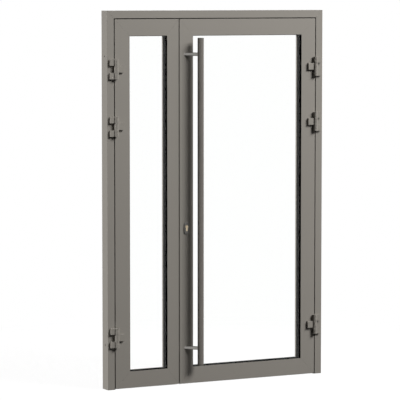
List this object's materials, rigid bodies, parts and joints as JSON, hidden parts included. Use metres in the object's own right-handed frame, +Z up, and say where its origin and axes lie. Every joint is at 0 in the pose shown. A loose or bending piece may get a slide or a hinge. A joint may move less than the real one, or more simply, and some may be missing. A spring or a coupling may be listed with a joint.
{
  "type": "glass double door with frame",
  "caption": "Framed glass double door with a wide active leaf, a narrow passive leaf, barrel hinges, a full-length pull bar on each side and a cylinder lock.",
  "frame": {"origin": "bottom centre of the frame, midway through its depth", "axes": "+Z up, +Y from the hinge side into the door, +X to the right seen from the hinge side"},
  "size_m": [1.363, 0.225, 2.1],
  "materials": {
    "door_paint": "satin powder coat in warm grey",
    "hinge_paint": "satin powder coat in warm grey",
    "clear_glass": "clear float glass",
    "edge_spacer": "matt black",
    "seal_rubber": "matt black",
    "raw_aluminium": "mill finish",
    "hinge_steel": "ground",
    "bar_metal": "satin dark grey",
    "post_steel": "brushed",
    "fitting_steel": "brushed",
    "cover_metal": "satin",
    "brass": "satin"
  },
  "bodies": {
    "door_frame": {"frame_jamb_left": "door_paint", "frame_jamb_right": "door_paint", "frame_head": "door_paint", "frame_corner_cleats": "raw_aluminium", "frame_seals": "seal_rubber", "bolt_keeper": "fitting_steel", "hinge_pins": "hinge_steel", "passive_hinge_frame_knuckles": "hinge_paint", "active_hinge_frame_knuckles": "hinge_paint"},
    "passive_leaf": {"passive_hinge_stile": "door_paint", "passive_meeting_stile": "door_paint", "passive_top_rail": "door_paint", "passive_bottom_rail": "door_paint", "passive_corner_cleats": "raw_aluminium", "passive_glass_outer": "clear_glass", "passive_glass_inner": "clear_glass", "passive_glass_spacer": "edge_spacer", "passive_glazing_beads": "door_paint", "passive_glazing_gaskets": "seal_rubber", "passive_setting_blocks": "edge_spacer", "passive_meeting_seal": "seal_rubber", "passive_bottom_seal": "seal_rubber", "strike_plate": "fitting_steel", "flush_bolt_plates": "fitting_steel", "passive_hinge_leaf_knuckles": "hinge_paint"},
    "active_leaf": {"active_hinge_stile": "door_paint", "active_lock_stile": "door_paint", "active_top_rail": "door_paint", "active_bottom_rail": "door_paint", "active_corner_cleats": "raw_aluminium", "active_glass_outer": "clear_glass", "active_glass_inner": "clear_glass", "active_glass_spacer": "edge_spacer", "active_glazing_beads": "door_paint", "active_glazing_gaskets": "seal_rubber", "active_setting_blocks": "edge_spacer", "active_meeting_seal": "seal_rubber", "active_bottom_seal": "seal_rubber", "handle_bar_outer": "bar_metal", "handle_bar_inner": "bar_metal", "handle_posts_outer": "post_steel", "handle_posts_inner": "post_steel", "handle_studs": "fitting_steel", "cylinder_covers": "cover_metal", "cylinder_body": "brass", "lock_case": "fitting_steel", "lock_faceplate": "fitting_steel", "active_hinge_leaf_knuckles": "hinge_paint"},
    "top_flush_bolt": {"top_bolt": "fitting_steel"},
    "bottom_flush_bolt": {"bottom_bolt": "fitting_steel"},
    "lock_bolt": {"dead_bolt": "fitting_steel"},
    "key_plug": {"cylinder_plug": "brass"}
  },
  "joints": [
    {"name": "passive_leaf_swing", "type": "hinge", "parent": "door_frame", "child": "passive_leaf", "pos_m": [-0.631, -0.049, 1.05], "axis": [0, 0, -1], "range_deg": [0, 110]},
    {"name": "active_leaf_swing", "type": "hinge", "parent": "door_frame", "child": "active_leaf", "pos_m": [0.631, -0.049, 1.05], "axis": [0, 0, 1], "range_deg": [0, 110]},
    {"name": "top_bolt_slide", "type": "slide", "parent": "passive_leaf", "child": "top_flush_bolt", "axis": [0, 0, 1], "range_m": [0, 0.02]},
    {"name": "bottom_bolt_slide", "type": "slide", "parent": "passive_leaf", "child": "bottom_flush_bolt", "axis": [0, 0, -1], "range_m": [0, 0.02]},
    {"name": "key_turn", "type": "hinge", "parent": "active_leaf", "child": "key_plug", "pos_m": [-0.1945, 0, 0.891], "axis": [0, 1, 0], "range_deg": [0, 360]},
    {"name": "dead_bolt_slide", "type": "slide", "parent": "active_leaf", "child": "lock_bolt", "axis": [-1, 0, 0], "range_m": [0, 0.02]}
  ],
  "couplings": [
    {"joint": "key_turn", "follows": "dead_bolt_slide", "rad_per_m": 314.16}
  ]
}
